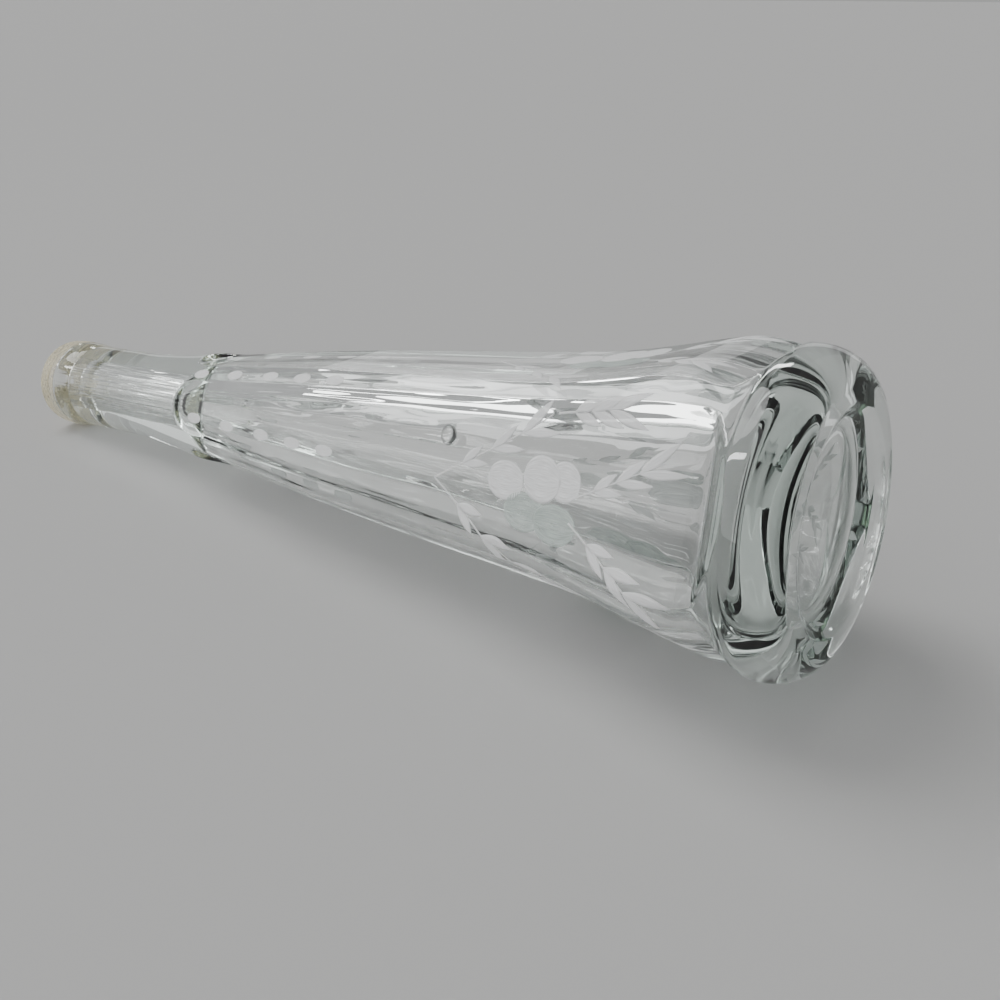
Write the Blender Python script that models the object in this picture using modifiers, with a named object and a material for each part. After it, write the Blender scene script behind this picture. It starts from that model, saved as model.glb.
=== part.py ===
"""Conical glass bottle with five cut panels, a rounded thick heel and a laid-on lip ring.

The bottle stands upright on its resting ring: the origin is at the centre of the base and +Z runs
out of the mouth. Everything is in metres.
"""

import math

import bmesh
import bpy
from mathutils import Matrix, Vector

# Overall sizes
HEIGHT = 0.250  # resting ring to mouth rim
HEEL_RADIUS = 0.0338  # widest point of the rounded heel collar
NECK_RADIUS = 0.0124

# Base and heel collar
HEEL_CURVE_WIDTH = 0.0074  # from the resting ring out to the widest point
HEEL_CURVE_HEIGHT = 0.0092  # from the resting ring up to the widest point
RESTING_WIDTH = 0.0045  # flat width of the resting ring
PUNT_DEPTH = 0.0030  # hollow under the base, at the axis
COLLAR_TOP = 0.0125  # top of the collar, where a shallow groove parts it from the cone
GROOVE_DEPTH = 0.0006
GROOVE_WIDTH = 0.0025

# Cone and neck
FLARE_TOP = 0.0500  # where the straight cone's foot starts to flare
FLARE_OUT = 0.0039  # how much narrower than the collar the cone is there
FLARE_BOTTOM = 0.0220  # the flared foot reaches the collar's radius here
FLARE_TOP_HANDLE = 0.0100
FLARE_BOTTOM_HANDLE = 0.0100
CONE_SHOULDER = 0.0010  # how much wider than the neck the cone ends
NECK_LENGTH = 0.0395  # cone to lip ring
NECK_BLEND_LENGTH = 0.0230  # the part of the neck's length that still narrows

# Lip ring, a gather of glass laid round the end of the neck
LIP_HEIGHT = 0.0155
LIP_OVERHANG = 0.0007  # how far its widest point stands out from the neck
LIP_STEP = 0.0001  # how far its lower edge stands out from the neck
LIP_ROUNDING = 0.0070  # height of the curve from the lower edge to the widest point
LIP_THICKNESS = 0.0034  # how far it reaches into the neck's end
LIP_CLEARANCE = 0.0003
RIM_INSET = 0.0020  # the flat rim's edge, in from the widest point
RIM_ROUNDING = 0.0040  # height over which the ring turns in to the flat rim

# Cut panels
PANEL_COUNT = 5
FIRST_PANEL_AZIMUTH = 106.0  # degrees from +X
PANEL_RISE = 0.0020  # from the collar's top to the panels' lower ends
PANEL_HEADROOM = 0.0170  # from the arches up to the cone's end
PANEL_BOTTOM_DEPTH = 0.0041  # how deep the cut is in the middle of a panel
PANEL_TOP_DEPTH = 0.0015
PANEL_SIDE_MARGIN = 0.0008
PANEL_CORNER_RADIUS = 0.0055
PANEL_END_SLOPE = 0.85  # how far an end face leans out for each unit of depth

# Hollow inside
BORE_RADIUS = 0.0035
MOUTH_FLARE = 0.0010
MOUTH_FLARE_HEIGHT = 0.0020
BORE_OVERRUN = 0.0120  # how far the bore runs down past the cone's end
SHOULDER_LENGTH = 0.0150  # where the bore widens into the hollow
WALL_TOP = 0.0050  # in the middle of a panel
WALL_BOTTOM = 0.0034
BASE_THICKNESS = 0.0085  # over the middle of the punt
HOLLOW_CORNER_RADIUS = 0.0080

# Resolution
TURN_STEPS = 60
CURVE_STEPS = 6
FLARE_STEPS = 7
ARCH_STEPS = 16
CORNER_STEPS = 4
CUT_MARGIN = 0.0040  # how far a cutter reaches past what it cuts
SMOOTH_ANGLE = math.radians(30)

# Places that follow from the sizes above
RESTING_RADIUS = HEEL_RADIUS - HEEL_CURVE_WIDTH
CONE_BOTTOM = COLLAR_TOP + GROOVE_WIDTH
LIP_BOTTOM = HEIGHT - LIP_HEIGHT
CONE_TOP = LIP_BOTTOM - NECK_LENGTH
CONE_TOP_RADIUS = NECK_RADIUS + CONE_SHOULDER
SPIGOT_RADIUS = NECK_RADIUS - LIP_THICKNESS
PANEL_BOTTOM = COLLAR_TOP + PANEL_RISE
PANEL_TOP = CONE_TOP - PANEL_HEADROOM
BORE_BOTTOM = CONE_TOP - BORE_OVERRUN
HOLLOW_TOP = BORE_BOTTOM - SHOULDER_LENGTH
HOLLOW_BOTTOM = PUNT_DEPTH + BASE_THICKNESS

GLASS_COLOUR = (0.92, 0.95, 0.93, 1.0)
LIP_COLOUR = (0.90, 0.89, 0.82, 1.0)


def clear_scene():
    for obj in list(bpy.data.objects):
        bpy.data.objects.remove(obj, do_unlink=True)


def new_collection(name, hidden=False):
    collection = bpy.data.collections.new(name)
    bpy.context.scene.collection.children.link(collection)
    collection.hide_render = hidden
    return collection


def glass(name, colour, roughness):
    material = bpy.data.materials.new(name)
    material.use_nodes = True
    shader = material.node_tree.nodes["Principled BSDF"]
    shader.inputs["Base Color"].default_value = colour
    shader.inputs["Roughness"].default_value = roughness
    shader.inputs["Metallic"].default_value = 0.0
    shader.inputs["Transmission Weight"].default_value = 0.9
    material.diffuse_color = colour
    return material


def arc(centre, radii, start, end, steps):
    """Points (r, z) along an elliptical arc, its ends included, with angles in degrees."""
    points = []
    for i in range(steps + 1):
        angle = math.radians(start + (end - start) * i / steps)
        points.append((centre[0] + radii[0] * math.cos(angle), centre[1] + radii[1] * math.sin(angle)))
    return points


def turned(name, profile, collection, closed=False):
    """A solid of revolution about Z, from (r, z) points that run down its outer side."""
    mesh = bpy.data.meshes.new(name)
    obj = bpy.data.objects.new(name, mesh)
    collection.objects.link(obj)
    outline = bmesh.new()
    verts = [outline.verts.new((r, 0.0, z)) for r, z in profile]
    for first, second in zip(verts, verts[1:]):
        outline.edges.new((first, second))
    if closed:
        outline.edges.new((verts[-1], verts[0]))
    outline.to_mesh(mesh)
    outline.free()
    screw = obj.modifiers.new("turn", "SCREW")
    screw.axis = "Z"
    screw.steps = TURN_STEPS
    screw.render_steps = TURN_STEPS
    screw.use_merge_vertices = True
    screw.merge_threshold = 0.00001
    return obj


def as_mesh(obj, collection):
    """A mesh object with the evaluated shape of obj, which it replaces."""
    bpy.context.view_layer.update()
    evaluated = obj.evaluated_get(bpy.context.evaluated_depsgraph_get())
    mesh = bpy.data.meshes.new_from_object(evaluated)
    work = bmesh.new()
    work.from_mesh(mesh)
    bmesh.ops.remove_doubles(work, verts=work.verts, dist=0.00001)
    bmesh.ops.recalc_face_normals(work, faces=work.faces)
    work.to_mesh(mesh)
    work.free()
    name, matrix = obj.name, obj.matrix_world.copy()
    bpy.data.objects.remove(obj, do_unlink=True)
    result = bpy.data.objects.new(name, mesh)
    result.matrix_world = matrix
    collection.objects.link(result)
    return result


def cut(obj, cutter):
    cutter.hide_render = True
    cutter.display_type = "WIRE"
    boolean = obj.modifiers.new("cut_" + cutter.name, "BOOLEAN")
    boolean.operation = "DIFFERENCE"
    boolean.solver = "EXACT"
    boolean.object = cutter


def finish(obj, material):
    obj.data.materials.append(material)
    obj.data.shade_smooth()
    obj.data.set_sharp_from_angle(angle=SMOOTH_ANGLE)


def between(height, low, high):
    """The value at a height on the straight line through two (height, value) points."""
    return low[1] + (high[1] - low[1]) * (height - low[0]) / (high[0] - low[0])


def cone_radius(height):
    """The radius of the straight cone at a height."""
    return between(height, (FLARE_TOP, HEEL_RADIUS - FLARE_OUT), (CONE_TOP, CONE_TOP_RADIUS))


def apothem(height):
    """The distance from the axis to a panel's plane."""
    return between(height, (PANEL_BOTTOM, HEEL_RADIUS - PANEL_BOTTOM_DEPTH),
                   (PANEL_TOP, cone_radius(PANEL_TOP) - PANEL_TOP_DEPTH))


def half_width(height, radius):
    """Half of a panel's width, a little more than where its plane leaves a body of that radius."""
    return math.sqrt(radius ** 2 - apothem(height) ** 2) + PANEL_SIDE_MARGIN


def flare():
    """Points (r, z) down the flared foot, a cubic curve from the straight cone to the collar's radius."""
    start = (cone_radius(FLARE_TOP), FLARE_TOP)
    first = (cone_radius(FLARE_TOP - FLARE_TOP_HANDLE), FLARE_TOP - FLARE_TOP_HANDLE)
    second = (HEEL_RADIUS, FLARE_BOTTOM + FLARE_BOTTOM_HANDLE)
    end = (HEEL_RADIUS, FLARE_BOTTOM)
    points = []
    for i in range(FLARE_STEPS + 1):
        t = i / FLARE_STEPS
        weights = ((1 - t) ** 3, 3 * t * (1 - t) ** 2, 3 * t * t * (1 - t), t ** 3)
        points.append(tuple(sum(w * p[axis] for w, p in zip(weights, (start, first, second, end)))
                            for axis in (0, 1)))
    return points


def base_profile():
    """The heel collar's curve, the resting ring and the punt, from the collar's widest point down."""
    ring_inner = RESTING_RADIUS - RESTING_WIDTH
    curve = arc((RESTING_RADIUS, HEEL_CURVE_HEIGHT),
                (HEEL_RADIUS - RESTING_RADIUS, HEEL_CURVE_HEIGHT), 0, -90, CURVE_STEPS)
    punt = arc((0.0, 0.0), (ring_inner, PUNT_DEPTH), 0, 90, CURVE_STEPS)
    return curve + punt


def body_profile():
    neck_end = LIP_BOTTOM - LIP_CLEARANCE
    blend_top = CONE_TOP + NECK_BLEND_LENGTH
    blend = [(NECK_RADIUS + CONE_SHOULDER * (1 - t) ** 2, CONE_TOP + NECK_BLEND_LENGTH * t)
             for t in (0.6, 0.3, 0.0)]
    top = [(0.0, HEIGHT), (SPIGOT_RADIUS, HEIGHT), (SPIGOT_RADIUS, neck_end), (NECK_RADIUS, neck_end),
           (NECK_RADIUS, blend_top)]
    foot = [(HEEL_RADIUS, CONE_BOTTOM), (HEEL_RADIUS - GROOVE_DEPTH, COLLAR_TOP + GROOVE_WIDTH / 2),
            (HEEL_RADIUS - GROOVE_DEPTH / 3, COLLAR_TOP - GROOVE_DEPTH)]
    return top + blend + flare() + foot + base_profile()


def hollow_profile():
    above = HEIGHT + CUT_MARGIN
    floor_radius = apothem(HOLLOW_BOTTOM + HOLLOW_CORNER_RADIUS) - WALL_BOTTOM
    corner = arc((floor_radius - HOLLOW_CORNER_RADIUS, HOLLOW_BOTTOM + HOLLOW_CORNER_RADIUS),
                 (HOLLOW_CORNER_RADIUS, HOLLOW_CORNER_RADIUS), 0, -90, CURVE_STEPS)
    mouth = BORE_RADIUS + MOUTH_FLARE
    return [(0.0, above), (mouth, above), (mouth, HEIGHT), (BORE_RADIUS, HEIGHT - MOUTH_FLARE_HEIGHT),
            (BORE_RADIUS, BORE_BOTTOM), (apothem(HOLLOW_TOP) - WALL_TOP, HOLLOW_TOP)
            ] + corner + [(0.0, HOLLOW_BOTTOM)]


def lip_profile():
    """The lip ring's section: a soft bead, widest below its middle, with a flat ground rim."""
    inner = SPIGOT_RADIUS + LIP_CLEARANCE
    outer = NECK_RADIUS + LIP_OVERHANG
    lower = NECK_RADIUS + LIP_STEP
    shoulder = arc((outer - RIM_INSET, HEIGHT - RIM_ROUNDING), (RIM_INSET, RIM_ROUNDING), 90, 0, CURVE_STEPS)
    bead = arc((lower, LIP_BOTTOM + LIP_ROUNDING), (outer - lower, LIP_ROUNDING), 0, -90, CURVE_STEPS)
    return [(inner, HEIGHT)] + shoulder + bead + [(inner, LIP_BOTTOM)]


def panel_outline(length):
    """Outline of one panel on its own plane: a rounded lower end and an arched top."""
    corner = PANEL_CORNER_RADIUS
    radius = half_width(PANEL_TOP, cone_radius(PANEL_TOP))
    edge = half_width(FLARE_BOTTOM, HEEL_RADIUS)
    right = arc((edge - corner, corner), (corner, corner), -90, 0, CORNER_STEPS)
    arch = arc((0.0, length - radius), (radius, radius), 0, 180, ARCH_STEPS)
    left = [(-x, y) for x, y in reversed(right)]
    return right + arch + left


def panel_cutter(index, collection):
    """A slab whose inner face is the panel's plane, with ends that lean out as the cut gets shallower."""
    foot = Vector((apothem(PANEL_BOTTOM), 0.0, PANEL_BOTTOM))
    head = Vector((apothem(PANEL_TOP), 0.0, PANEL_TOP))
    up = (head - foot).normalized()
    side = Vector((0.0, 1.0, 0.0))
    outward = side.cross(up)
    depth = PANEL_BOTTOM_DEPTH + CUT_MARGIN
    curve = bpy.data.curves.new("panel_cutter_%d" % (index + 1), "CURVE")
    curve.dimensions = "2D"
    curve.fill_mode = "BOTH"
    curve.extrude = depth / 2
    points = panel_outline((head - foot).length)
    spline = curve.splines.new("POLY")
    spline.points.add(len(points) - 1)
    for point, (x, y) in zip(spline.points, points):
        point.co = (x, y, 0.0, 1.0)
    spline.use_cyclic_u = True
    obj = bpy.data.objects.new(curve.name, curve)
    collection.objects.link(obj)
    obj = as_mesh(obj, collection)
    middle = (head - foot).length / 2
    for vert in obj.data.vertices:
        if vert.co.z > 0:
            vert.co.y += math.copysign(PANEL_END_SLOPE * depth, vert.co.y - middle)
    frame = Matrix((side, up, outward)).transposed().to_4x4()
    frame.translation = foot + outward * depth / 2
    turn = Matrix.Rotation(math.radians(FIRST_PANEL_AZIMUTH + index * 360 / PANEL_COUNT), 4, "Z")
    obj.data.transform(turn @ frame)
    return obj


def make_body(parts, cutters):
    body = turned("bottle_body", body_profile(), parts)
    for index in range(PANEL_COUNT):
        cut(body, panel_cutter(index, cutters))
    cut(body, turned("hollow_cutter", hollow_profile(), cutters))
    finish(body, glass("clear_glass", GLASS_COLOUR, 0.03))


def make_lip(parts):
    lip = turned("lip_ring", lip_profile(), parts, closed=True)
    finish(lip, glass("lip_glass", LIP_COLOUR, 0.12))


def main():
    clear_scene()
    parts = new_collection("panelled_conical_bottle")
    cutters = new_collection("cutters", hidden=True)
    make_body(parts, cutters)
    make_lip(parts)


main()
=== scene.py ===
"""Looks of the panelled conical bottle: seamless clear glass, a ground band round the mouth and wheel
engraving.

Run as a script. Lengths are in metres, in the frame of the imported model: the origin is at the centre of
the base and +Z runs out of the mouth. Azimuths run from +X towards +Y.
"""

import math

import bpy
import numpy as np
from bpy.props import FloatProperty, FloatVectorProperty, IntProperty, PointerProperty
from mathutils import Matrix, Quaternion, Vector


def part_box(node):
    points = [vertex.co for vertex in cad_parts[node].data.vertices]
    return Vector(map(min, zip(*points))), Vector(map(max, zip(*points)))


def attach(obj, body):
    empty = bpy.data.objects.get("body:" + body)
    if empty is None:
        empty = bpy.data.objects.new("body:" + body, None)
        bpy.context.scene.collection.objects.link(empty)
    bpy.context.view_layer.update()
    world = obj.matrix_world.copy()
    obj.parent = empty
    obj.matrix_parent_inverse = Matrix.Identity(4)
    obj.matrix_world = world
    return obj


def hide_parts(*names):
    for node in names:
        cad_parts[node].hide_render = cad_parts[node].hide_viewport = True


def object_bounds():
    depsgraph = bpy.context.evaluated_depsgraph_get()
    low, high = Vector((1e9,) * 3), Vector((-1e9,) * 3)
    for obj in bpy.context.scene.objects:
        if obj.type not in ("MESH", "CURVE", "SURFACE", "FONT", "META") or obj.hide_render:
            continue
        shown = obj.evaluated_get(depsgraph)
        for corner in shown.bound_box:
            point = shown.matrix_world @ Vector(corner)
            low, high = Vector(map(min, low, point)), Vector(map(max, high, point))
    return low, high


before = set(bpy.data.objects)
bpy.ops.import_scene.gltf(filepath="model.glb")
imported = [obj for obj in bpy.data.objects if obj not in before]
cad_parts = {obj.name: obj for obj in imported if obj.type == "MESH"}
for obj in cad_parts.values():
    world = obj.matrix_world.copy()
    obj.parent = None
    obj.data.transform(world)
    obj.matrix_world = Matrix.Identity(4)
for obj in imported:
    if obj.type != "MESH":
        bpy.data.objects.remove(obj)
CAD_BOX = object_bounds()

bl_info = {
    "name": "Panelled Conical Bottle",
    "version": (1, 0, 0),
    "blender": (4, 5, 0),
    "location": "3D View > Sidebar > Bottle",
    "description": "Models a clear glass bottle with five cut panels and an engraved flower spray",
    "category": "Add Mesh",
}

HEIGHT = CAD_BOX[1][2]
LIP_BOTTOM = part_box("lip_ring")[0][2]
PANEL_COUNT = 5
BODY = "root"


# ---------------------------------------------------------------- settings

class BottleShape(bpy.types.PropertyGroup):
    """Sizes of the glass that a user would change"""

    first_panel: FloatProperty(
        name="First Panel", description="Azimuth of the middle of the first panel",
        default=math.radians(106), subtype="ANGLE")
    heel_radius: FloatProperty(
        name="Heel Radius", description="Radius of the smooth collar round the heel",
        default=0.0325, unit="LENGTH")
    heel_height: FloatProperty(
        name="Heel Height", description="Height of the rounded part of the heel",
        default=0.0090, unit="LENGTH")
    resting_radius: FloatProperty(
        name="Resting Radius", description="Radius where the heel meets the table",
        default=0.0254, unit="LENGTH")
    punt_radius: FloatProperty(
        name="Punt Radius", description="Radius of the hollow under the base",
        default=0.0215, unit="LENGTH")
    punt_depth: FloatProperty(
        name="Punt Depth", description="Depth of the hollow under the base",
        default=0.0030, unit="LENGTH")
    panel_bottom: FloatProperty(
        name="Panel Bottom", description="Height of the panels' lower ends",
        default=0.0150, unit="LENGTH")
    panel_top: FloatProperty(
        name="Panel Top", description="Height of the arches' tops",
        default=0.1785, unit="LENGTH")
    panel_depth_low: FloatProperty(
        name="Panel Depth Low", description="Depth of the cut at the panels' lower ends",
        default=0.0051, unit="LENGTH")
    panel_depth_high: FloatProperty(
        name="Panel Depth High", description="Depth of the cut under the arches",
        default=0.0016, unit="LENGTH")
    arch_radius: FloatProperty(
        name="Arch Radius", description="Radius of the arch at the top of a panel",
        default=0.0077, unit="LENGTH")
    corner_radius: FloatProperty(
        name="Corner Radius", description="Radius of the corners at a panel's lower end",
        default=0.0055, unit="LENGTH")
    edge_softness: FloatProperty(
        name="Edge Softness", description="How softly a panel meets the land beside it",
        default=0.00018, unit="LENGTH")
    bore_radius: FloatProperty(
        name="Bore Radius", description="Radius of the bore through the neck",
        default=0.0033, unit="LENGTH")
    bore_bottom: FloatProperty(
        name="Bore Bottom", description="Height where the bore starts to widen",
        default=0.1850, unit="LENGTH")
    hollow_top: FloatProperty(
        name="Hollow Top", description="Height where the widening ends",
        default=0.1700, unit="LENGTH")
    hollow_bottom: FloatProperty(
        name="Hollow Bottom", description="Height of the floor inside",
        default=0.0115, unit="LENGTH")
    wall_low: FloatProperty(
        name="Wall Low", description="Thickness of the glass behind a panel's lower end",
        default=0.0036, unit="LENGTH")
    wall_high: FloatProperty(
        name="Wall High", description="Thickness of the glass behind a panel's arch",
        default=0.0050, unit="LENGTH")
    ridge_height: FloatProperty(
        name="Ridge Height", description="Height of the fine ridges on the inner wall",
        default=0.00005, unit="LENGTH")
    bubble_azimuth: FloatProperty(
        name="Bubble Azimuth", description="Azimuth of the bubble in the glass",
        default=math.radians(119.3), subtype="ANGLE")
    bubble_height: FloatProperty(
        name="Bubble Height", description="Height of the bubble above the base",
        default=0.0783, unit="LENGTH")
    bubble_radius: FloatProperty(
        name="Bubble Radius", description="Radius of the bubble", default=0.0022, unit="LENGTH")
    bubble_flatness: FloatProperty(
        name="Bubble Flatness", description="Thickness of the bubble as a share of its width",
        default=0.35, min=0.1, max=1.0)
    bubble_cover: FloatProperty(
        name="Bubble Cover", description="Depth of the bubble's middle under the surface",
        default=0.0018, unit="LENGTH")
    tint: FloatVectorProperty(
        name="Glass Tint", description="Colour that light takes on in thick glass",
        subtype="COLOR", size=3, min=0.0, max=1.0, default=(0.62, 0.86, 0.74))
    tint_density: FloatProperty(
        name="Tint Density", description="How quickly the tint builds up", default=8.0)


class Engraving(bpy.types.PropertyGroup):
    """Places and sizes of the wheel engraving"""

    azimuth: FloatProperty(
        name="Azimuth", description="Azimuth of the first flower spray",
        default=math.radians(95), subtype="ANGLE")
    sprays: IntProperty(name="Sprays", description="Flower sprays round the bottle", default=4, min=1)
    upper_start: FloatVectorProperty(
        name="Upper Start", description="Where the upper sprigs part, across and up",
        size=2, unit="LENGTH", default=(0.0, 0.0802))
    upper_end: FloatVectorProperty(
        name="Upper End", description="Where the right upper sprig ends",
        size=2, unit="LENGTH", default=(0.0182, 0.0505))
    lower_start: FloatVectorProperty(
        name="Lower Start", description="Where the right lower sprig starts",
        size=2, unit="LENGTH", default=(0.0024, 0.0430))
    lower_end: FloatVectorProperty(
        name="Lower End", description="Where the right lower sprig ends",
        size=2, unit="LENGTH", default=(0.0138, 0.0230))
    tail_start: FloatVectorProperty(
        name="Tail Start", description="Where the right tail sprig starts",
        size=2, unit="LENGTH", default=(0.0186, 0.0492))
    tail_end: FloatVectorProperty(
        name="Tail End", description="Where the right tail sprig ends",
        size=2, unit="LENGTH", default=(0.0218, 0.0330))
    leaf_length: FloatProperty(
        name="Leaf Length", description="Length of the leaves at a tip", default=0.0102, unit="LENGTH")
    leaf_width: FloatProperty(
        name="Leaf Width", description="Width of a leaf", default=0.0021, unit="LENGTH")
    stem_width: FloatProperty(
        name="Stem Width", description="Width of a stem", default=0.00045, unit="LENGTH")
    dot_length: FloatProperty(
        name="Dot Length", description="Length of a ground dot", default=0.0062, unit="LENGTH")
    dot_width: FloatProperty(
        name="Dot Width", description="Width of a ground dot", default=0.0028, unit="LENGTH")
    lift: FloatProperty(
        name="Lift", description="How far the ground skin stands out of the glass",
        default=0.00004, unit="LENGTH")
    opacity: FloatProperty(
        name="Opacity", description="Opacity of the ground glass",
        default=0.72, min=0.1, max=0.9, subtype="FACTOR")
    thin_opacity: FloatProperty(
        name="Thin Opacity", description="Opacity of the two lightly ground petals",
        default=0.46, min=0.1, max=0.9, subtype="FACTOR")
    rim_opacity: FloatProperty(
        name="Rim Opacity", description="Opacity of the ground band round the mouth",
        default=0.36, min=0.1, max=0.9, subtype="FACTOR")
    colour: FloatVectorProperty(
        name="Ground Glass Colour", description="Colour of the ground glass",
        subtype="COLOR", size=3, min=0.0, max=1.0, default=(0.90, 0.91, 0.91))
    thin_colour: FloatVectorProperty(
        name="Thin Ground Glass Colour", description="Colour of the two lightly ground petals",
        subtype="COLOR", size=3, min=0.0, max=1.0, default=(0.56, 0.64, 0.60))
    rim_colour: FloatVectorProperty(
        name="Rim Colour", description="Colour of the ground band round the mouth",
        subtype="COLOR", size=3, min=0.0, max=1.0, default=(0.80, 0.72, 0.50))


class StudioStage(bpy.types.PropertyGroup):
    """The plain studio round the bottle"""

    floor_colour: FloatVectorProperty(
        name="Floor Colour", description="Colour of the floor and of the table",
        subtype="COLOR", size=3, min=0.0, max=1.0, default=(0.46, 0.46, 0.455))
    sky_colour: FloatVectorProperty(
        name="Sky Colour", description="Colour of the light from all round",
        subtype="COLOR", size=3, min=0.0, max=1.0, default=(0.40, 0.40, 0.405))
    strip_width: FloatProperty(
        name="Strip Width", description="Width of each upright strip light", default=0.045, unit="LENGTH")
    strip_height: FloatProperty(
        name="Strip Height", description="Height of each upright strip light", default=0.7, unit="LENGTH")
    strip_power: FloatProperty(
        name="Strip Power", description="Power of each strip light", default=2.4, unit="POWER")
    strip_distance: FloatProperty(
        name="Strip Distance", description="Distance of the strip lights from the bottle",
        default=0.6, unit="LENGTH")
    table_normal: FloatVectorProperty(
        name="Table Normal", description="The way that the table's top faces",
        subtype="DIRECTION", size=3, default=(-0.9929, 0.0677, -0.0979))
    table_distance: FloatProperty(
        name="Table Distance", description="Distance of the table's top from the bottle's axis",
        default=0.0368, unit="LENGTH")
    camera_place: FloatVectorProperty(
        name="Camera Place", description="Where the camera stands",
        subtype="TRANSLATION", size=3, default=(-0.0699, 0.1855, -0.0634))
    camera_target: FloatVectorProperty(
        name="Camera Target", description="The point that the camera looks at",
        subtype="TRANSLATION", size=3, default=(0.0083, 0.0036, 0.0775))
    camera_roll: FloatProperty(
        name="Camera Roll", description="How far the camera is rolled, for the bottle lying on its side",
        default=math.radians(-78.0), subtype="ANGLE")
    lens: FloatProperty(
        name="Lens", description="Focal length in millimetres on a sensor 36 mm wide",
        default=38.57, subtype="DISTANCE_CAMERA")


# ---------------------------------------------------------------- profile of the glass

# Heights and radii of the lands between the panels, from the notch above the heel to the lip
LAND_OUTLINE = (
    (0.0124, 0.0322), (0.0160, 0.0334), (0.0200, 0.0342), (0.0250, 0.0344), (0.0310, 0.0335),
    (0.0420, 0.0311), (0.0520, 0.0291), (0.0750, 0.0264), (0.1000, 0.0242), (0.1250, 0.0218),
    (0.1500, 0.0189), (0.1750, 0.0157), (0.1950, 0.0134), (0.2080, 0.0125), (0.2200, 0.0124),
    (0.2345, 0.0124),
)


def smooth_through(points, at):
    """Values of a smooth curve through (place, value) points, a cubic between each two of them."""
    x, y = np.array(points).T
    slope = np.gradient(y, x)
    at = np.clip(at, x[0], x[-1])
    i = np.clip(np.searchsorted(x, at) - 1, 0, len(x) - 2)
    step = x[i + 1] - x[i]
    t = (at - x[i]) / step
    return ((1 + 2 * t) * (1 - t) ** 2 * y[i] + t * (1 - t) ** 2 * step * slope[i]
            + t * t * (3 - 2 * t) * y[i + 1] + t * t * (t - 1) * step * slope[i + 1])


def smooth_min(a, b, width):
    """The smaller of two values, rounded over where they are nearer to each other than width."""
    overlap = np.clip(width - np.abs(a - b), 0, None) / width
    return np.minimum(a, b) - overlap ** 2 * width / 4


def smooth_max(a, b, width):
    return -smooth_min(-a, -b, width)


def land_radius(height):
    return smooth_through(LAND_OUTLINE, height)


def panel_depth(shape, height):
    share = np.clip((height - shape.panel_bottom) / (shape.panel_top - shape.panel_bottom), -0.1, 1.1)
    return shape.panel_depth_low + (shape.panel_depth_high - shape.panel_depth_low) * share


def panel_distance(shape, height):
    """Distance from the axis to the middle of a panel's face."""
    return land_radius(height) - panel_depth(shape, height)


PANEL_HALF_WIDTH = 0.0190
FAR_INSIDE = -1.0


def outside_panel(shape, across, height):
    """Distance from a point to a panel's outline: its arch above and its rounded lower end."""
    above_spring = height - (shape.panel_top - shape.arch_radius)
    arch = np.hypot(across, np.maximum(above_spring, 0)) - shape.arch_radius
    arch = np.where(above_spring > 0, arch, FAR_INSIDE)
    corner = shape.corner_radius
    half = PANEL_HALF_WIDTH - corner
    low = np.hypot(np.maximum(np.abs(across) - half, 0),
                   np.maximum(shape.panel_bottom + corner - height, 0)) - corner
    return np.maximum(arch, low)


END_SLOPE = 1.15  # rise of a panel's end above its face, for each unit outwards
END_SOFTNESS = 0.0006


def cut_radius(shape, turn, height, round_radius):
    """Radius of the glass at an angle from a panel's middle, once the panel is cut from round_radius."""
    distance = panel_distance(shape, height)
    across = distance * np.tan(turn)
    rise = smooth_max(END_SLOPE * outside_panel(shape, across, height), 0 * across, END_SOFTNESS)
    face = (distance + rise) / np.cos(turn)
    return smooth_min(round_radius, face, shape.edge_softness)


def edge_angle(shape, height):
    """Angle from a panel's middle to the edge of the land beside it."""
    return np.arccos(panel_distance(shape, height) / land_radius(height))


def hollow_radius(shape, height):
    """Radius of the inner wall: parallel to the panels low down, then narrowing to the bore."""
    wall = shape.wall_low + (shape.wall_high - shape.wall_low) * (
        (height - shape.hollow_bottom) / (shape.hollow_top - shape.hollow_bottom))
    side = panel_distance(shape, height) - wall
    share = np.clip((height - shape.hollow_top) / (shape.bore_bottom - shape.hollow_top), 0, 1)
    return side + (shape.bore_radius - side) * share ** 2 * (3 - 2 * share)


# Ridges round the inner wall, how much each set drifts with height, its phase and its strength
RIDGE_SETS = ((19, 0.5, 0.0, 1.0), (31, -0.6, 2.0, 0.7), (43, 0.4, 4.0, 0.5))
WAVE_FADE = 0.03  # height below the rim over which the waves die out


def wall_waves(shape, around, height):
    """Low ridges that run up the inner wall, as the tool that opened the hot glass leaves them."""
    drift = 1.4 * np.sin(height / 0.021) + 0.8 * np.sin(height / 0.0083 + 1.0)
    ridges = sum(strength * np.sin(count * around + share * drift + phase)
                 for count, share, phase, strength in RIDGE_SETS)
    swell = np.sin(height / 0.0061 + 2 * np.sin(3 * around)) * np.sin(5 * around + height / 0.03)
    fade = np.clip((HEIGHT - height) / WAVE_FADE, 0, 1)
    return fade * shape.ridge_height * (ridges + 2 * swell)


def arc(centre, radii, start, end, steps):
    """Points (r, z) along an elliptical arc, its ends included, with angles in degrees."""
    angles = np.radians(np.linspace(start, end, steps + 1))
    return [(centre[0] + radii[0] * math.cos(a), centre[1] + radii[1] * math.sin(a)) for a in angles]


def climb(low, high, step, radius_at):
    """Points (r, z) up a stretch, about a step apart, its ends included."""
    heights = np.linspace(low, high, max(2, round((high - low) / step) + 1))
    return [(float(radius_at(h)), float(h)) for h in heights]


# The rounded edge between the punt and the resting ring: its width and height
PUNT_EDGE = (0.0012, 0.0006)
# Rows of the collar above the heel's curve, and how far each is drawn in towards the notch
COLLAR_ROWS = ((0.0010, 0.0), (0.0018, 0.00002), (0.0024, 0.0002), (0.0029, 0.00045))
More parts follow.
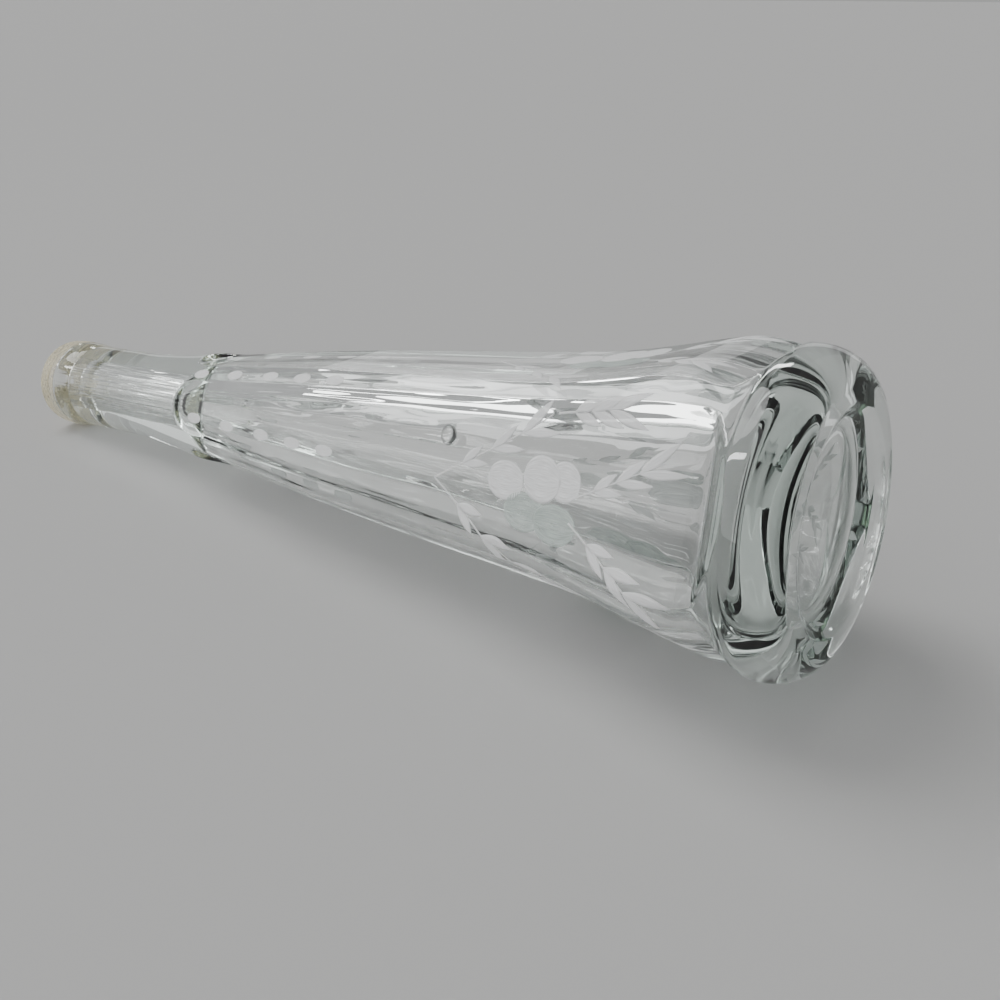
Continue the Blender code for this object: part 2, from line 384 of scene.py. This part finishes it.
# Stretches of rows up the lands, from, to and spacing: the rows are closer at the panels' ends
LAND_ROWS = (
    (LAND_OUTLINE[0][0], 0.0270, 0.00045), (0.0280, 0.1640, 0.0015), (0.1650, 0.1830, 0.0005),
    (0.1845, LIP_BOTTOM - 0.0010, 0.0015),
)


def outer_profile(shape):
    """From the middle of the punt round the heel and up the lands to the lip."""
    rest, heel, rise = shape.resting_radius, shape.heel_radius, shape.heel_height
    edge_width, edge_height = PUNT_EDGE
    punt = arc((0, 0), (shape.punt_radius, shape.punt_depth), 90, 8, 16)
    ring = arc((shape.punt_radius + edge_width, edge_height), PUNT_EDGE, 215, 270, 3)
    curve = arc((rest, rise), (heel - rest, rise), -90, 0, 22)
    collar = [(heel - inset, rise + above) for above, inset in COLLAR_ROWS]
    lands = [point for low, high, step in LAND_ROWS for point in climb(low, high, step, land_radius)]
    return punt + ring + curve + collar + lands


# Heights and radii up the lip, with the seam's groove under the ground band
LIP_OUTLINE = (
    (0.2341, 0.01236), (0.2346, 0.01230), (0.2352, 0.01244), (0.2375, 0.01276), (0.2400, 0.01298),
    (0.2411, 0.01300), (0.2415, 0.01290), (0.2419, 0.01301), (0.2430, 0.01308), (0.2455, 0.01310),
    (0.2474, 0.01302),
)
LIP_ROW = 0.0003
RIM_RADIUS = 0.0112
RIM_ROUNDING = 0.0024
RIM_FACE = (0.0100, 0.0088, 0.0076, 0.0064, 0.0056)  # radii of the rings of the flat rim
MOUTH_RADIUS = 0.0050
MOUTH_ROUNDING = 0.0020
HOLLOW_CORNER = 0.0080  # radius between the inner wall and the floor inside
# Spacing of the rows up the bore, the shoulder and the side of the hollow
BORE_ROW = 0.0018
SHOULDER_ROW = 0.00061
SIDE_ROW = 0.0026
FLOOR_RINGS = 8
FLOOR_DISH = 0.0004  # depth of the middle of the floor inside


def lip_radius(height):
    return smooth_through(LIP_OUTLINE, height)


def rim_arc(steps):
    """The rounding between the side of the lip and its flat rim."""
    side = LIP_OUTLINE[-1][1]
    return arc((RIM_RADIUS, HEIGHT - RIM_ROUNDING), (side - RIM_RADIUS, RIM_ROUNDING), 0, 90, steps)[1:]


def lip_profile():
    """The lip's bead and its rounded rim."""
    return climb(LIP_OUTLINE[0][0], LIP_OUTLINE[-1][0], LIP_ROW, lip_radius) + rim_arc(12)


def inner_profile(shape):
    """From the rim down the bore and the hollow to the middle of the floor inside."""
    def wall(height):
        return hollow_radius(shape, height)

    bore, top, bottom = shape.bore_radius, shape.hollow_top, shape.bore_bottom
    face = [(radius, HEIGHT) for radius in RIM_FACE]
    mouth = arc((MOUTH_RADIUS, HEIGHT - MOUTH_ROUNDING), (MOUTH_RADIUS - bore, MOUTH_ROUNDING), 90, 180, 8)
    neck = climb(bottom + 0.0015, HEIGHT - MOUTH_ROUNDING - 0.0010, BORE_ROW, lambda height: bore)
    shoulder = climb(top - 0.0010, bottom + 0.0005, SHOULDER_ROW, wall)
    low = shape.hollow_bottom + HOLLOW_CORNER
    side = climb(low, top - 0.0025, SIDE_ROW, wall)
    flat = float(wall(low)) - HOLLOW_CORNER
    turn = arc((flat, low), (HOLLOW_CORNER, HOLLOW_CORNER), 0, -90, 14)[1:]
    shares = [ring / FLOOR_RINGS for ring in range(1, FLOOR_RINGS + 1)]
    floor = [(flat * (1 - share), shape.hollow_bottom - FLOOR_DISH * share ** 2) for share in shares]
    return face + mouth + neck[::-1] + shoulder[::-1] + side[::-1] + turn + floor


# ---------------------------------------------------------------- mesh helpers

def deselect_all():
    bpy.ops.object.select_all(action="DESELECT")


def make_active(obj):
    deselect_all()
    obj.select_set(True)
    bpy.context.view_layer.objects.active = obj


def read_points(mesh):
    points = np.empty(len(mesh.vertices) * 3)
    mesh.vertices.foreach_get("co", points)
    return points.reshape(-1, 3)


def write_points(mesh, points):
    mesh.vertices.foreach_set("co", points.astype(np.float32).ravel())
    mesh.update()


MERGE_DISTANCE = 0.000002


def spun(name, profile, steps):
    """A shape turned about Z: the profile is drawn as a line and spun in edit mode."""
    curve = bpy.data.curves.new(name, "CURVE")
    curve.dimensions = "3D"
    line = curve.splines.new("POLY")
    line.points.add(len(profile) - 1)
    for point, (r, z) in zip(line.points, profile):
        point.co = (r, 0, z, 1)
    obj = bpy.data.objects.new(name, curve)
    bpy.context.scene.collection.objects.link(obj)
    make_active(obj)
    bpy.ops.object.convert(target="MESH")
    obj = bpy.context.object
    bpy.ops.object.mode_set(mode="EDIT")
    bpy.ops.mesh.select_all(action="SELECT")
    bpy.ops.mesh.spin(steps=steps, angle=2 * math.pi, center=(0, 0, 0), axis=(0, 0, 1))
    bpy.ops.mesh.select_all(action="SELECT")
    bpy.ops.mesh.remove_doubles(threshold=MERGE_DISTANCE)
    bpy.ops.mesh.normals_make_consistent(inside=False)
    bpy.ops.object.mode_set(mode="OBJECT")
    return obj


# ---------------------------------------------------------------- materials

def new_material(name):
    """A material with its nodes, links, Principled shader and output."""
    material = bpy.data.materials.new(name)
    material.use_nodes = True
    nodes = material.node_tree.nodes
    return material, nodes, material.node_tree.links, nodes["Principled BSDF"], nodes["Material Output"]


GLASS_IOR = 1.52


def clear_glass_material(shape):
    """Colourless glass that turns slightly green where it is thick."""
    material, nodes, links, shader, output = new_material("clear_glass")
    shader.inputs["Base Color"].default_value = (1, 1, 1, 1)
    shader.inputs["Metallic"].default_value = 0
    shader.inputs["Transmission Weight"].default_value = 1
    shader.inputs["IOR"].default_value = GLASS_IOR
    shader.inputs["Roughness"].default_value = 0.0
    absorb = nodes.new("ShaderNodeVolumeAbsorption")
    absorb.inputs["Color"].default_value = (*shape.tint, 1)
    absorb.inputs["Density"].default_value = shape.tint_density
    links.new(absorb.outputs["Volume"], output.inputs["Volume"])
    return material


def stage_material(name, colour):
    """Matt paint that is clear from behind, so that the plane hides nothing."""
    material, nodes, links, shader, output = new_material(name)
    shader.inputs["Base Color"].default_value = (*colour, 1)
    shader.inputs["Roughness"].default_value = 0.9
    shader.inputs["Specular IOR Level"].default_value = 0.1
    clear = nodes.new("ShaderNodeBsdfTransparent")
    side = nodes.new("ShaderNodeNewGeometry")
    mix = nodes.new("ShaderNodeMixShader")
    links.new(side.outputs["Backfacing"], mix.inputs["Fac"])
    links.new(shader.outputs["BSDF"], mix.inputs[1])
    links.new(clear.outputs["BSDF"], mix.inputs[2])
    links.new(mix.outputs["Shader"], output.inputs["Surface"])
    return material


# ---------------------------------------------------------------- glass

# Columns of faces from a panel's middle to its edge zone, across that zone, and on to the land's middle
COLUMNS_IN_PANEL = 13
COLUMNS_AT_EDGE = 8
COLUMNS_IN_LAND = 5
HALF_COLUMNS = COLUMNS_IN_PANEL + COLUMNS_AT_EDGE + COLUMNS_IN_LAND
COLUMNS = 2 * HALF_COLUMNS * PANEL_COUNT
EDGE_ZONE = 0.0006  # half the width of the zone where the columns crowd round a panel's edge
LAND_SHARE = 0.97  # the zone never reaches past this share of the way to the land's middle


def column_angles(shape, column, height):
    """The angle from its panel's middle of each column in half a panel: the columns follow the edge."""
    edge = edge_angle(shape, height)
    zone = EDGE_ZONE / land_radius(height)
    half = math.pi / PANEL_COUNT
    inner = edge - zone
    outer = np.minimum(edge + zone, half * LAND_SHARE)
    in_edge = column - COLUMNS_IN_PANEL
    in_land = in_edge - COLUMNS_AT_EDGE
    across_panel = inner * column / COLUMNS_IN_PANEL
    across_edge = inner + (outer - inner) * in_edge / COLUMNS_AT_EDGE
    across_land = outer + (half - outer) * in_land / COLUMNS_IN_LAND
    return np.where(in_edge <= 0, across_panel, np.where(in_land <= 0, across_edge, across_land))


WALL_MARGIN = 0.0012  # points this far outside the hollow belong to the outer wall
WAVES_START = 0.0060  # height above the floor inside where the inner wall's waves start


def shape_glass(shape, obj):
    """Cuts the panels into the turned body and gives the inner wall its slight waves."""
    points = read_points(obj.data)
    radius = np.hypot(points[:, 0], points[:, 1])
    height = points[:, 2].copy()
    step = 2 * math.pi / COLUMNS
    column = np.round(np.arctan2(points[:, 1], points[:, 0]) / step).astype(int) % COLUMNS
    within = (column + HALF_COLUMNS) % (2 * HALF_COLUMNS) - HALF_COLUMNS
    panel = np.round((column - within) / (2 * HALF_COLUMNS))
    turn = np.sign(within) * column_angles(shape, np.abs(within), height)
    around = shape.first_panel + panel * 2 * math.pi / PANEL_COUNT + turn
    hollow_wall = hollow_radius(shape, np.clip(height, shape.hollow_bottom, HEIGHT))
    outside = radius > hollow_wall + WALL_MARGIN
    cut = outside & (height > shape.heel_height) & (height < LIP_BOTTOM)
    radius = np.where(cut, cut_radius(shape, turn, height, radius), radius)
    hollow = ~outside & (height > shape.hollow_bottom + WAVES_START)
    radius = np.where(hollow, radius + wall_waves(shape, around, height), radius)
    write_points(obj.data, np.column_stack((radius * np.cos(around), radius * np.sin(around), height)))


class MESH_OT_bottle_glass(bpy.types.Operator):
    """Model the bottle's glass as one seamless wall, outside and inside"""

    bl_idname = "mesh.bottle_glass"
    bl_label = "Bottle Glass"

    def execute(self, context):
        shape = context.scene.bottle_shape
        profile = outer_profile(shape) + lip_profile() + inner_profile(shape)
        glass = spun("bottle_glass", profile, COLUMNS)
        shape_glass(shape, glass)
        glass.data.shade_smooth()
        glass.data.materials.append(clear_glass_material(shape))
        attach(glass, BODY)
        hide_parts("bottle_body", "lip_ring")
        return {"FINISHED"}


class MESH_OT_bottle_bubble(bpy.types.Operator):
    """Model the flattened bubble that the glass holds behind the first panel"""

    bl_idname = "mesh.bottle_bubble"
    bl_label = "Seed Bubble"

    def execute(self, context):
        shape = context.scene.bottle_shape
        around, height = shape.bubble_azimuth, shape.bubble_height
        reach = panel_distance(shape, height) / math.cos(around - shape.first_panel) - shape.bubble_cover
        deselect_all()
        bpy.ops.mesh.primitive_uv_sphere_add(segments=32, ring_count=16, radius=shape.bubble_radius)
        bubble = bpy.context.object
        bubble.name = "seed_bubble"
        flat = Matrix.Diagonal((shape.bubble_flatness, 1, 1, 1))
        turn = Matrix.Rotation(shape.first_panel, 4, "Z")
        place = Matrix.Translation((reach * math.cos(around), reach * math.sin(around), height))
        bubble.data.transform(place @ turn @ flat)
        bubble.data.shade_smooth()
        bubble.data.materials.append(bpy.data.objects["bottle_glass"].data.materials[0])
        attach(bubble, BODY)
        return {"FINISHED"}


# ---------------------------------------------------------------- engraving

# Across, height, width and length of each petal: three bright ones, and two that are lightly ground
BRIGHT_PETALS = (
    (0.0030, 0.0606, 0.0088, 0.0096),
    (0.0056, 0.0452, 0.0088, 0.0082),
    (0.0050, 0.0512, 0.0104, 0.0098),
)
THIN_PETALS = (
    (-0.0026, 0.0548, 0.0080, 0.0108),
    (-0.0035, 0.0466, 0.0080, 0.0112),
)
DOT_HEIGHTS = (0.1163, 0.1283, 0.1409, 0.1559, 0.1713)
LEAF_PAIRS = 3
BARE_STEM = 0.0092  # the longest stretch of stem before the first leaves
FIRST_LEAF = 0.70  # length of the first pair of leaves as a share of the last pair's
OUTER_SPREAD = math.radians(13)
INNER_SPREAD = math.radians(-23)
TIP = 0.004  # share of a leaf's length that is cut off at each end, so that no edge has no length


def glass_radius(shape, around, height):
    """Radius of the glass outside at an azimuth and a height, the panels included."""
    pitch = 2 * math.pi / PANEL_COUNT
    turn = (around - shape.first_panel + pitch / 2) % pitch - pitch / 2
    return cut_radius(shape, turn, height, land_radius(height))


def flat_patch(name, columns, rows, outline):
    """A flat patch on a unit grid: outline(share) gives its half width along its length."""
    deselect_all()
    bpy.ops.mesh.primitive_grid_add(x_subdivisions=columns, y_subdivisions=rows, size=1, calc_uvs=True)
    patch = bpy.context.object
    patch.name = name
    points = read_points(patch.data)
    points[:, 0] *= 2 * outline(points[:, 1] + 0.5)
    write_points(patch.data, points)
    return patch


def leaf_outline(share):
    return 0.5 * np.sin(np.pi * np.clip(share, TIP, 1 - TIP) ** 0.9) ** 1.1


def petal_outline(share):
    return 0.5 * np.sqrt(np.clip(1 - (2 * share - 1) ** 2, TIP / 2, 1))


def stem_outline(share):
    return 0.5 * (1 - 0.5 * share)


def placed(pattern, across, height, width, length, angle=0.0):
    """A copy of a flat patch, with its own mesh, standing at (across, height) and turned by angle."""
    copy = pattern.copy()
    copy.data = pattern.data.copy()
    bpy.context.scene.collection.objects.link(copy)
    turn = Matrix.Rotation(-angle, 4, "Z")
    size = Matrix.Diagonal((width, length, 1, 1))
    copy.data.transform(Matrix.Translation((across, height, 0)) @ turn @ size)
    return copy


def stroke(pattern, start, angle, length, width):
    """A patch that runs down from its start, at an angle from straight down."""
    way = Vector((math.sin(angle), -math.cos(angle)))
    middle = Vector(start) + way * length / 2
    return placed(pattern, middle[0], middle[1], width, length, math.pi - angle)


def sprig(engraving, leaf, stem, start, end, side):
    """A stem with pairs of leaves, the last at its tip. side is 1 for the right and -1 for the left."""
    start, end = Vector((side * start[0], start[1])), Vector((side * end[0], end[1]))
    run = end - start
    angle = math.atan2(run[0], -run[1])
    bare = min(BARE_STEM, run.length / 4)
    pieces = [stroke(stem, start, angle, run.length, engraving.stem_width)]
    pitch = (run.length - bare) / LEAF_PAIRS
    for pair in range(LEAF_PAIRS):
        joint = start + run.normalized() * (bare + pitch * pair)
        length = engraving.leaf_length * (FIRST_LEAF + (1 - FIRST_LEAF) * pair / (LEAF_PAIRS - 1))
        for spread in (OUTER_SPREAD, INNER_SPREAD):
            pieces.append(stroke(leaf, joint, angle + side * spread, length, engraving.leaf_width))
    return pieces


def join(pieces, name):
    """Joins the pieces into the first of them."""
    deselect_all()
    for piece in pieces:
        piece.select_set(True)
    bpy.context.view_layer.objects.active = pieces[0]
    bpy.ops.object.join()
    joined = bpy.context.object
    joined.name = name
    return joined


ARC_SHARE = 0.95  # the flat panels bring the drawing this much nearer to the axis than the lands


def add_skin(obj, lift, offset):
    """Gives a surface a thickness of twice the lift."""
    make_active(obj)
    skin = obj.modifiers.new("skin", "SOLIDIFY")
    skin.thickness = 2 * lift
    skin.offset = offset
    bpy.ops.object.modifier_apply(modifier="skin")
    obj.data.shade_smooth()


def wrap(shape, obj, azimuth, lift):
    """Lays a flat drawing on the glass round an azimuth, as a skin that lies astride the surface."""
    points = read_points(obj.data)
    height = points[:, 1].copy()
    around = azimuth + points[:, 0] / (ARC_SHARE * land_radius(height))
    radius = glass_radius(shape, around, height) + lift
    write_points(obj.data, np.column_stack((radius * np.cos(around), radius * np.sin(around), height)))
    add_skin(obj, lift, -1)


VEIL_SPREAD = 0.10  # how far the opacity strays either way
STROKE_BUMP = 0.0001


def spread_noise(nodes, low, high):
    """A node that spreads the middle of a noise's range from low to high."""
    node = nodes.new("ShaderNodeMapRange")
    node.inputs["From Min"].default_value = 0.3
    node.inputs["From Max"].default_value = 0.7
    node.inputs["To Min"].default_value = low
    node.inputs["To Max"].default_value = high
    return node


def ground_glass_material(name, colour, opacity, scale, coordinates="UV"):
    """Grey ground glass, with the fine strokes of the wheel along each cut."""
    material, nodes, links, shader, _ = new_material(name)
    shader.inputs["Roughness"].default_value = 0.65
    place = nodes.new("ShaderNodeTexCoord")
    stretch = nodes.new("ShaderNodeMapping")
    stretch.inputs["Scale"].default_value = scale
    strokes = nodes.new("ShaderNodeTexNoise")
    strokes.inputs["Scale"].default_value = 1.0
    strokes.inputs["Detail"].default_value = 3
    tone = spread_noise(nodes, 0.78, 1.08)
    shade = nodes.new("ShaderNodeMix")
    shade.data_type = "RGBA"
    shade.blend_type = "MULTIPLY"
    shade.inputs["Factor"].default_value = 1
    shade.inputs["A"].default_value = (*colour, 1)
    veil = spread_noise(nodes, opacity - VEIL_SPREAD, opacity + VEIL_SPREAD)
    bump = nodes.new("ShaderNodeBump")
    bump.inputs["Strength"].default_value = 0.3
    bump.inputs["Distance"].default_value = STROKE_BUMP
    links.new(place.outputs[coordinates], stretch.inputs["Vector"])
    links.new(stretch.outputs["Vector"], strokes.inputs["Vector"])
    links.new(strokes.outputs["Fac"], tone.inputs["Value"])
    links.new(tone.outputs["Result"], shade.inputs["B"])
    links.new(shade.outputs["Result"], shader.inputs["Base Color"])
    links.new(strokes.outputs["Fac"], veil.inputs["Value"])
    links.new(veil.outputs["Result"], shader.inputs["Alpha"])
    links.new(strokes.outputs["Fac"], bump.inputs["Height"])
    links.new(bump.outputs["Normal"], shader.inputs["Normal"])
    return material


def finish_ground(obj, material):
    """Paints a ground skin and lets it ride on the bottle."""
    obj.data.materials.clear()
    obj.data.materials.append(material)
    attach(obj, BODY)


# The strokes' scale across and along each leaf, petal and dot, and the grain's scale on the rim
BRIGHT_STROKES = (60, 3.0, 1)
THIN_STROKES = (40, 3.0, 1)
RIM_GRAIN = (700, 700, 2500)


def engrave_sprigs(shape, engraving, leaf, stem, azimuth, name):
    """The two upper sprigs, the two lower ones and the tail on the right, as one skin."""
    pieces = sprig(engraving, leaf, stem, engraving.tail_start, engraving.tail_end, 1)
    for side in (1, -1):
        pieces += sprig(engraving, leaf, stem, engraving.upper_start, engraving.upper_end, side)
        pieces += sprig(engraving, leaf, stem, engraving.lower_start, engraving.lower_end, side)
    sprigs = join(pieces, name)
    wrap(shape, sprigs, azimuth, engraving.lift)
    return sprigs


def engrave_petals(shape, engraving, petal, petals, azimuth, name):
    """Petals that overlap, each with its own lift, so that no two surfaces coincide."""
    pieces = [placed(petal, *numbers) for numbers in petals]
    for number, piece in enumerate(pieces):
        wrap(shape, piece, azimuth, engraving.lift * (0.6 + 0.15 * number))
    return join(pieces, name)


def engrave_dots(shape, engraving, petal, azimuth, name):
    """A row of ground dots up the bottle."""
    size = (engraving.dot_width, engraving.dot_length)
    dots = join([placed(petal, 0, height, *size) for height in DOT_HEIGHTS], name)
    wrap(shape, dots, azimuth, engraving.lift)
    return dots


class MESH_OT_bottle_engraving(bpy.types.Operator):
    """Engrave the flower sprays and the rows of ground dots"""

    bl_idname = "mesh.bottle_engraving"
    bl_label = "Bottle Engraving"

    def execute(self, context):
        shape, engraving = context.scene.bottle_shape, context.scene.bottle_engraving
        bright = ground_glass_material("ground_glass", engraving.colour, engraving.opacity, BRIGHT_STROKES)
        thin = ground_glass_material(
            "thin_ground_glass", engraving.thin_colour, engraving.thin_opacity, THIN_STROKES)
        leaf = flat_patch("leaf", 4, 16, leaf_outline)
        stem = flat_patch("stem", 1, 60, stem_outline)
        petal = flat_patch("petal", 14, 18, petal_outline)
        for spray in range(engraving.sprays):
            azimuth = engraving.azimuth + spray * 2 * math.pi / engraving.sprays
            number = spray + 1
            sprigs = engrave_sprigs(shape, engraving, leaf, stem, azimuth, "sprigs_%d" % number)
            finish_ground(sprigs, bright)
            flower = engrave_petals(shape, engraving, petal, BRIGHT_PETALS, azimuth, "flower_%d" % number)
            finish_ground(flower, bright)
            low = engrave_petals(shape, engraving, petal, THIN_PETALS, azimuth, "thin_petals_%d" % number)
            finish_ground(low, thin)
        for row in range(2 * engraving.sprays):
            azimuth = engraving.azimuth + row * math.pi / engraving.sprays
            dots = engrave_dots(shape, engraving, petal, azimuth, "dots_%d" % (row + 1))
            finish_ground(dots, bright)
        for pattern in (leaf, stem, petal):
            bpy.data.objects.remove(pattern)
        return {"FINISHED"}


RIM_BAND_BOTTOM = 0.2420
RIM_BAND_ROW = 0.0005
RIM_BAND_FACE = (0.0090, 0.0070, MOUTH_RADIUS + 0.0004)  # radii of the band's rings on the flat rim
RIM_COLUMNS = 96


class MESH_OT_bottle_rim(bpy.types.Operator):
    """Model the cream band of ground glass over the lip's end"""

    bl_idname = "mesh.bottle_rim"
    bl_label = "Ground Rim"

    def execute(self, context):
        engraving = context.scene.bottle_engraving
        side = climb(RIM_BAND_BOTTOM, LIP_OUTLINE[-1][0], RIM_BAND_ROW, lip_radius)
        face = [(radius, HEIGHT) for radius in RIM_BAND_FACE]
        rim = spun("ground_rim", side + rim_arc(10) + face, RIM_COLUMNS)
        add_skin(rim, engraving.lift, 0)
        material = ground_glass_material(
            "ground_lip", engraving.rim_colour, engraving.rim_opacity, RIM_GRAIN, "Object")
        finish_ground(rim, material)
        return {"FINISHED"}


# ---------------------------------------------------------------- stage

FLOOR_DROP = 0.0002
STAGE_SIZE = 60
SENSOR_WIDTH = 36
NEAREST = 0.01
STRIP_AZIMUTHS = (140, 60, 215, 290, 350)
STRIP_MIDDLE = 0.50
EVEN_LIGHTS = (
    # name, the way the light travels, its strength and its spread in degrees
    ("key_light", (0.80, -0.08, -0.50), 1.6, 40),
    ("fill_light", (0.35, -0.85, -0.40), 1.8, 100),
    ("back_light", (-0.50, 0.72, -0.45), 1.1, 100),
)


def plane(name, place, normal, material):
    """A large flat ground that throws no shadow and no light of its own on the bottle."""
    bpy.ops.mesh.primitive_plane_add(size=STAGE_SIZE, location=(0, 0, 0))
    obj = bpy.context.object
    obj.name = name
    turn = normal.to_track_quat("Z", "Y").to_matrix().to_4x4()
    obj.data.transform(Matrix.Translation(place) @ turn)
    obj.data.materials.append(material)
    obj.visible_shadow = False
    obj.visible_diffuse = False


def light_object(context, light, way):
    """Puts a light in the scene, shining along way."""
    obj = bpy.data.objects.new(light.name, light)
    obj.rotation_euler = way.to_track_quat("-Z", "Y").to_euler()
    context.scene.collection.objects.link(obj)
    return obj


def strip_light(context, stage, number, azimuth):
    """An upright strip beside the bottle, which only shows as a reflection in the glass."""
    light = bpy.data.lights.new("strip_light_%d" % number, "AREA")
    light.shape = "RECTANGLE"
    light.size = stage.strip_width
    light.size_y = stage.strip_height
    light.energy = stage.strip_power
    away = Vector((math.cos(azimuth), math.sin(azimuth), 0))
    obj = light_object(context, light, -away)
    obj.location = away * stage.strip_distance + Vector((0, 0, STRIP_MIDDLE))
    obj.visible_camera = False
    obj.visible_diffuse = False


def even_light(context, name, way, strength, spread):
    """A far light that falls evenly on the bottle and on the grounds."""
    light = bpy.data.lights.new(name, "SUN")
    light.energy = strength
    light.angle = math.radians(spread)
    light_object(context, light, Vector(way))


def add_camera(context, stage):
    """The camera, rolled so that the upright bottle lies on its side in the picture."""
    camera = bpy.data.objects.new("camera", bpy.data.cameras.new("camera"))
    context.scene.collection.objects.link(camera)
    place = Vector(stage.camera_place)
    look = Vector(stage.camera_target) - place
    turn = look.to_track_quat("-Z", "Y") @ Quaternion((0, 0, 1), stage.camera_roll)
    camera.matrix_world = Matrix.Translation(place) @ turn.to_matrix().to_4x4()
    camera.data.sensor_width = SENSOR_WIDTH
    camera.data.lens = stage.lens
    camera.data.clip_start = NEAREST
    context.scene.camera = camera


class SCENE_OT_bottle_stage(bpy.types.Operator):
    """Set up the camera, the floor, the table that the bottle leans to, and the soft studio light"""

    bl_idname = "scene.bottle_stage"
    bl_label = "Studio Stage"

    def execute(self, context):
        stage = context.scene.bottle_stage
        deselect_all()
        paint = stage_material("studio_paint", stage.floor_colour)
        plane("floor", Vector((0, 0, -FLOOR_DROP)), Vector((0, 0, 1)), paint)
        normal = Vector(stage.table_normal)
        plane("table", normal * -stage.table_distance, normal, paint)
        add_camera(context, stage)
        world = bpy.data.worlds.new("studio")
        world.use_nodes = True
        world.node_tree.nodes["Background"].inputs["Color"].default_value = (*stage.sky_colour, 1)
        context.scene.world = world
        for number, degrees in enumerate(STRIP_AZIMUTHS):
            strip_light(context, stage, number + 1, math.radians(degrees))
        for name, way, strength, spread in EVEN_LIGHTS:
            even_light(context, name, way, strength, spread)
        return {"FINISHED"}


# ---------------------------------------------------------------- add-on

class VIEW3D_PT_bottle(bpy.types.Panel):
    """Sizes of the bottle and the buttons that build it"""

    bl_label = "Panelled Bottle"
    bl_space_type = "VIEW_3D"
    bl_region_type = "UI"
    bl_category = "Bottle"

    def draw(self, context):
        scene = context.scene
        for settings in (scene.bottle_shape, scene.bottle_engraving, scene.bottle_stage):
            for name in settings.__annotations__:
                self.layout.prop(settings, name)
        for operator in OPERATORS:
            self.layout.operator(operator.bl_idname)


GROUPS = (BottleShape, Engraving, StudioStage)
OPERATORS = (
    MESH_OT_bottle_glass, MESH_OT_bottle_bubble, MESH_OT_bottle_engraving, MESH_OT_bottle_rim,
    SCENE_OT_bottle_stage,
)
CLASSES = GROUPS + OPERATORS + (VIEW3D_PT_bottle,)


def register():
    for cls in CLASSES:
        bpy.utils.register_class(cls)
    bpy.types.Scene.bottle_shape = PointerProperty(type=BottleShape)
    bpy.types.Scene.bottle_engraving = PointerProperty(type=Engraving)
    bpy.types.Scene.bottle_stage = PointerProperty(type=StudioStage)


def unregister():
    del bpy.types.Scene.bottle_stage
    del bpy.types.Scene.bottle_engraving
    del bpy.types.Scene.bottle_shape
    for cls in reversed(CLASSES):
        bpy.utils.unregister_class(cls)


def main():
    register()
    bpy.ops.mesh.bottle_glass()
    bpy.ops.mesh.bottle_bubble()
    bpy.ops.mesh.bottle_engraving()
    bpy.ops.mesh.bottle_rim()
    bpy.ops.scene.bottle_stage()


if __name__ == "__main__":
    main()
